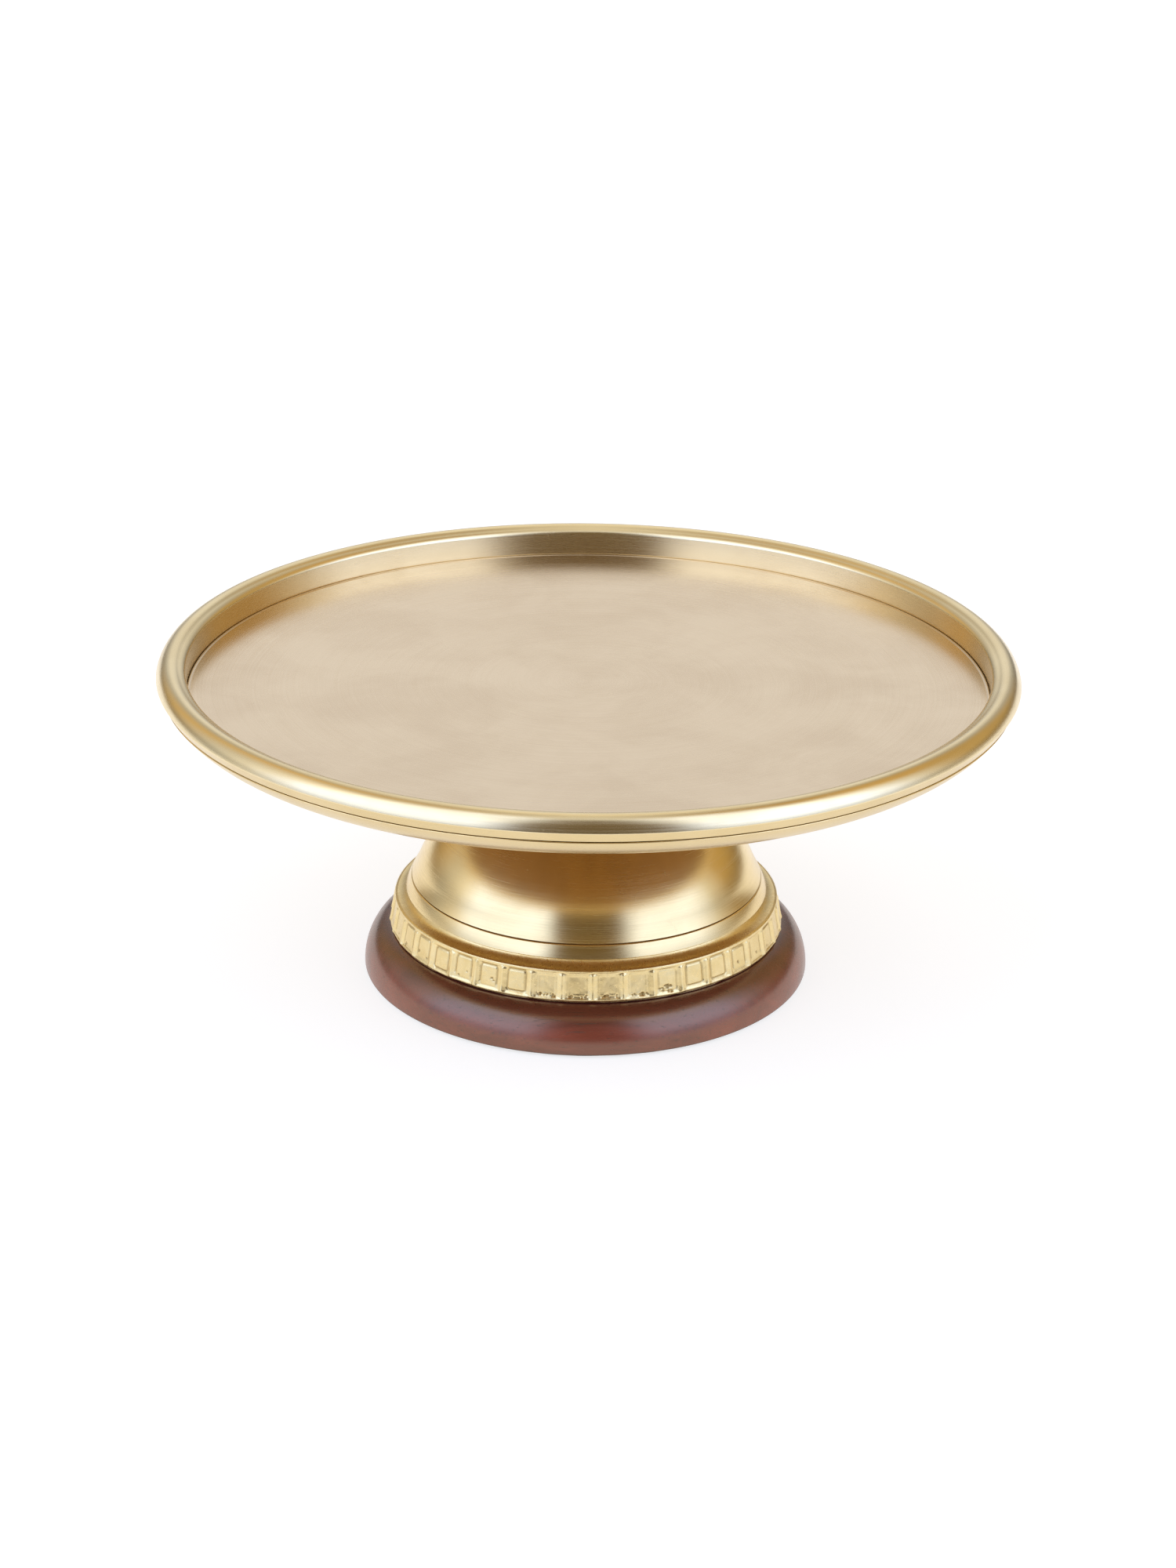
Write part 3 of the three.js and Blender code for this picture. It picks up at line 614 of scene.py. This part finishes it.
fibre = Finish("red_fibre")
strands = fibre.noise(fibre.place, 700, 4, 0.6, 1.2)
fibre.set(
    fibre.surface.inputs["Base Color"],
    fibre.blend(strands, (0.16, 0.035, 0.02, 1), (0.30, 0.09, 0.045, 1)),
)
fibre.set(fibre.surface.inputs["Roughness"], fibre.spread(strands, 0.3, 0.7, 0.6, 0.85))
fibre.set(fibre.surface.inputs["Normal"], fibre.bump(strands, 0.4, 0.0001))
washer_low, washer_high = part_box("neck_washer")
washer_outline = [
    (BORE, washer_low.z / MM),
    (washer_high.x / MM, washer_low.z / MM),
    (washer_high.x / MM, washer_high.z / MM),
    (BORE, washer_high.z / MM),
]
neck_washer = turn("neck_washer_fibre", ease(washer_outline, 0.15), fibre.material, 96)
stand_for(neck_washer, "fibre", "neck_washer")

# ---- Rod, nuts and screws -------------------------------------------------------------
# The rod that clamps the stand together, its nuts and washers and the three ring screws
# are zinc-plated steel, bought in: a thin bluish plating with faint spangles.
zinc = Finish("zinc_steel")
spangle = zinc.noise(zinc.place, 420, 4, 0.6)
zinc.set(
    zinc.surface.inputs["Base Color"],
    zinc.blend(spangle, (0.52, 0.54, 0.57, 1), (0.70, 0.71, 0.72, 1)),
)
zinc.surface.inputs["Metallic"].default_value = 1
zinc.set(zinc.surface.inputs["Roughness"], zinc.spread(spangle, 0.3, 0.7, 0.28, 0.45))
zinc.set(zinc.surface.inputs["Normal"], zinc.bump(spangle, 0.2, 0.0001))
rod_and_nuts = ["tie_rod", "rod_lock_nut", "clamp_washer", "spring_washer", "clamp_nut"]
for name in rod_and_nuts + [f"ring_screw_{k}" for k in (1, 2, 3)]:
    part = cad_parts[name]
    part.data.materials.clear()
    part.data.materials.append(zinc.material)

# ---- Plinth ---------------------------------------------------------------------------
# The foot, turned from one flat board of mahogany, so the grain runs straight across it.
# It is stained dark, sealed and polished. The edge is a plain quarter round.
plinth_low, plinth_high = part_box("plinth")
plinth_radius = plinth_high.x / MM
plinth_foot = plinth_low.z / MM
plinth_top = plinth_high.z / MM
BULGE = 0.6
ROUND = 11.65
ROUND_STEPS = 24
POCKET = 14
pocket_top = plinth_foot + 8.9
edge_start, edge_end = (plinth_radius - 0.4, plinth_foot), (plinth_radius, plinth_foot + BULGE)
round_over = []
for i in range(1, ROUND_STEPS + 1):
    swing = i / ROUND_STEPS * math.pi / 2
    round_over.append((
        plinth_radius - ROUND + ROUND * math.cos(swing),
        plinth_foot + BULGE + (plinth_top - plinth_foot - BULGE) * math.sin(swing),
    ))
plinth_outline = [
    (POCKET, plinth_foot),
    edge_start,
    *curve(edge_start, (plinth_radius, plinth_foot), edge_end, 8),
    *round_over,
    (THREAD, plinth_top),
    (THREAD, pocket_top),
    (POCKET, pocket_top),
]
RED, DARK_RED = (0.250, 0.050, 0.026, 1), (0.120, 0.022, 0.013, 1)
# The shade colour is painted shade for the darkened upper part of the plinth under the tray; PORE
# is the dark of the open pores.
UPPER_PAINTED_SHADE, PORE = (0.055, 0.016, 0.011, 1), (0.018, 0.007, 0.005, 1)
# The foot colour is a painted shadow: a thin dark line along the bottom edge of the plinth, where
# it meets the felt and the table.
FOOT_PAINTED_SHADOW = (0.012, 0.006, 0.005, 1)
GRAIN_TURN = (0.05, 0.09, 0.4)
wood = Finish("mahogany")
grain_place = wood.add("ShaderNodeMapping", wood.place)
grain_place.inputs["Rotation"].default_value = GRAIN_TURN
grain_place.inputs["Scale"].default_value = (9, 70, 70)
along = grain_place.outputs[0]
bands = wood.noise(along, 1.0, 4, 0.6, 0.9)
pore_place = wood.add("ShaderNodeMapping", wood.place)
pore_place.inputs["Rotation"].default_value = GRAIN_TURN
pore_place.inputs["Scale"].default_value = (110, 1500, 1500)
pores = wood.noise(pore_place.outputs[0], 1.0, 2, 0.5)
height = wood.add("ShaderNodeSeparateXYZ", wood.place).outputs["Z"]
tone = wood.blend(wood.spread(bands, 0.32, 0.68, 0, 1), DARK_RED, RED)
# Painted shade: the wood is darkened towards the top, up to 0.6 of the way to the shade colour, for
# the shade under the tray.
tone = wood.blend(wood.spread(height, 0.008, 0.0155, 0, 0.6, True), tone, UPPER_PAINTED_SHADE)
tone = wood.blend(wood.spread(pores, 0.60, 0.72, 0, 0.6), tone, PORE)
# Painted shadow: the wood just above its foot is darkened almost to black, for the contact shadow
# at the table.
tone = wood.blend(wood.spread(height, 0.0013, 0.0019, 0.85, 0, True), tone, FOOT_PAINTED_SHADOW)
wood.set(wood.surface.inputs["Base Color"], tone)
banded = wood.spread(bands, 0.3, 0.7, 0.21, 0.27)
gloss = wood.sum("ADD", banded, wood.spread(pores, 0.6, 0.75, 0, 0.12))
wood.set(wood.surface.inputs["Roughness"], gloss)
wood.surface.inputs["IOR"].default_value = 1.65
wood.surface.inputs["Specular IOR Level"].default_value = 1.0
wood.surface.inputs["Specular Tint"].default_value = (1.0, 0.82, 0.62, 1)
wood.set(wood.surface.inputs["Normal"], wood.bump(pores, 0.10, 0.0001))
plinth = turn("plinth_turned", ease(plinth_outline, 0.5, 40), wood.material)
stand_for(plinth, "mahogany", "plinth")

# ---- Felt -----------------------------------------------------------------------------
# A disc of dark wool felt is glued under the plinth, a little smaller all round, so the
# stand doesn't mark the table. Its cut edge is soft and slightly uneven.
felt = Finish("wool_felt")
fuzz = felt.noise(felt.place, 1500, 5, 0.7, 1.5)
matted = felt.noise(felt.place, 240, 4, 0.6, 0.8)
nap = felt.spread(felt.sum("ADD", fuzz, matted), 0.75, 1.25, 0, 1)
BLACK_GREEN, DUSTY_GREEN = (0.010, 0.014, 0.010, 1), (0.035, 0.042, 0.032, 1)
felt.set(felt.surface.inputs["Base Color"], felt.blend(nap, BLACK_GREEN, DUSTY_GREEN))
felt.surface.inputs["Roughness"].default_value = 0.95
felt.surface.inputs["Sheen Weight"].default_value = 0.25
felt.surface.inputs["Sheen Roughness"].default_value = 0.5
fuzzy = felt.bump(fuzz, 0.7, 0.0002)
felt.set(felt.surface.inputs["Normal"], felt.bump(matted, 0.6, 0.0003, fuzzy))
pad_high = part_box("felt_pad")[1]
pad_radius = pad_high.x / MM
pad_top = pad_high.z / MM
pad_outline = [(0, 0)] + [(pad_radius * i / 12 * 0.99, 0.0) for i in range(1, 13)]
pad_bulge, pad_edge = (pad_radius + 0.2, pad_top / 2), (pad_radius * 0.99, pad_top)
pad_outline += curve(pad_outline[-1], pad_bulge, pad_edge, 8)
pad_outline += [(0, pad_top)]
felt_pad = turn("felt_disc", pad_outline, felt.material, 240)
shape = felt_pad.data
place = np.zeros(len(shape.vertices) * 3, np.float32)
shape.vertices.foreach_get("co", place)
place = place.reshape(-1, 3)
swing = np.arctan2(place[:, 1], place[:, 0])
wander = 1 - 0.0014 * (1 + np.sin(17 * swing + 1) * 0.5 + np.sin(41 * swing) * 0.5)
place[:, 0] *= wander
place[:, 1] *= wander
shape.vertices.foreach_set("co", place.ravel())
shape.update()
stand_for(felt_pad, "felt", "felt_pad")

# ---- Table ------------------------------------------------------------------------------
# The stand is shown on a matt white table that glows a little, as if it were lit from
# below, so that only the softest shadow falls round the foot.
table_finish = Finish("white_table")
table_finish.surface.inputs["Base Color"].default_value = (0.42, 0.415, 0.395, 1)
table_finish.surface.inputs["Roughness"].default_value = 0.9
table_finish.surface.inputs["Specular IOR Level"].default_value = 0
table_finish.surface.inputs["Emission Color"].default_value = (1, 1, 1, 1)
table_finish.surface.inputs["Emission Strength"].default_value = 0.74
table_mesh = bpy.data.meshes.new("table")
table_mesh.from_pydata([(-6, -1.0, 0), (6, -1.0, 0), (6, 9, 0), (-6, 9, 0)], [], [(0, 1, 2, 3)])
table_mesh.materials.append(table_finish.material)
table = bpy.data.objects.new("table", table_mesh)
bpy.context.scene.collection.objects.link(table)

# ---- Studio -----------------------------------------------------------------------------
# A plain white studio. A large cool softbox stands on each side, with dim warm corners
# behind them, a white wall at the back and a dark room behind the camera.
world = bpy.data.worlds.new("studio")
bpy.context.scene.world = world
world.use_nodes = True
studio = Mixing(world.node_tree)
generated = studio.add("ShaderNodeTexCoord").outputs["Generated"]
facing = studio.add("ShaderNodeSeparateXYZ", generated).outputs
ahead = studio.sum("MULTIPLY", facing[1], -1.0)
bearing = studio.sum("ARCTAN2", facing[0], ahead)
lamps = studio.add("ShaderNodeValToRGB", studio.spread(bearing, -math.pi, math.pi, 0.0, 1.0))

# The level and tint of the room at each bearing, in degrees round from the camera's side.
WHITE, COOL, WARM = (1.0, 1.0, 1.0), (1.0, 1.19, 1.75), (1.42, 1.0, 0.4)
BRIGHTEST = 2.7
ROOM = [
    (-180, 0.93, WHITE), (-171, 0.93, WHITE), (-158, 0.5, WHITE), (-138, 0.5, WARM),
    (-112, 0.7, WHITE), (-94, 1.1, WHITE), (-80, 1.5, COOL), (-28, 1.5, COOL),
    (-18, 0.11, WARM), (22, 0.11, WARM), (34, 1.5, COOL), (78, 1.5, COOL),
    (95, 0.9, WHITE), (113, 0.42, WARM), (140, 0.38, WARM), (158, 0.48, WHITE),
    (171, 0.93, WHITE), (180, 0.93, WHITE),
]


def fill_ramp(ramp, places, colours):
    """Give a colour ramp its stops. The places are set twice, because stops sort as they move."""
    stops = ramp.color_ramp.elements
    while len(stops) < len(places):
        stops.new(0.5)
    for _ in range(2):
        for stop, place in zip(stops, places):
            stop.position = place
    for stop, colour in zip(stops, colours):
        stop.color = (*colour, 1)


fill_ramp(
    lamps,
    [(degrees + 180) / 360 for degrees, _, _ in ROOM],
    [[level / BRIGHTEST * part for part in tint] for _, level, tint in ROOM],
)

# The lamps hang well above the table, so the room is dimmer low down, and milder high up.
# Here the degrees are counted from the horizon.
TALLEST = 1.5
heights = studio.add("ShaderNodeValToRGB", studio.spread(facing[2], -1.0, 1.0, 0.0, 1.0))
MILD = (1.0, 0.94, 0.82)
HEIGHTS = [
    (-90, 0.6, WHITE), (-12, 0.6, WHITE), (-7, 0.42, WHITE), (4, 0.42, WHITE), (16, 0.98, WHITE),
    (36, 0.95, WHITE), (43, 1.08, MILD), (54, 1.08, MILD), (60, 0.9, MILD), (90, 0.9, MILD),
]
fill_ramp(
    heights,
    [(math.sin(math.radians(degrees)) + 1) / 2 for degrees, _, _ in HEIGHTS],
    [[level / TALLEST * part for part in tint] for _, level, tint in HEIGHTS],
)
overhead = studio.spread(facing[2], 0.965, 0.995, 0.0, 1.0)


def grey(level):
    """A grey of this brightness, scaled as the two ramps are."""
    share = level / BRIGHTEST / TALLEST
    return (share, share, share, 1)


lit = studio.blend(1.0, lamps.outputs[0], heights.outputs[0], "MULTIPLY")
lit = studio.blend(overhead, lit, grey(0.85))
seen = studio.add("ShaderNodeLightPath").outputs["Is Camera Ray"]
back = studio.tree.nodes["Background"]
back.inputs["Strength"].default_value = BRIGHTEST * TALLEST
studio.set(back.inputs["Color"], studio.blend(seen, lit, grey(1)))

# ---- Camera -----------------------------------------------------------------------------
# It stands 1.1 m in front of the stand and half a metre above the table, aimed at the
# middle of the bell and tipped less than a degree.
camera_data = bpy.data.cameras.new("camera")
camera = bpy.data.objects.new("camera", camera_data)
bpy.context.scene.collection.objects.link(camera)
bpy.context.scene.camera = camera
camera.location = (0, -1.1061, 0.5243)
AIMED_AT = Vector((0, 0, 0.0612))
TIP = 0.71
aim = AIMED_AT - camera.location
camera.rotation_euler = aim.to_track_quat("-Z", "Y").to_euler()
camera.rotation_euler.rotate_axis("Z", math.radians(TIP))
camera_data.sensor_width = 36
camera_data.lens = 76.34
camera_data.shift_x = 0.0005
camera_data.shift_y = 0.0137
camera_data.clip_start = 0.05
camera_data.clip_end = 50
bpy.context.scene.view_settings.view_transform = "Standard"
bpy.context.scene.view_settings.look = "None"
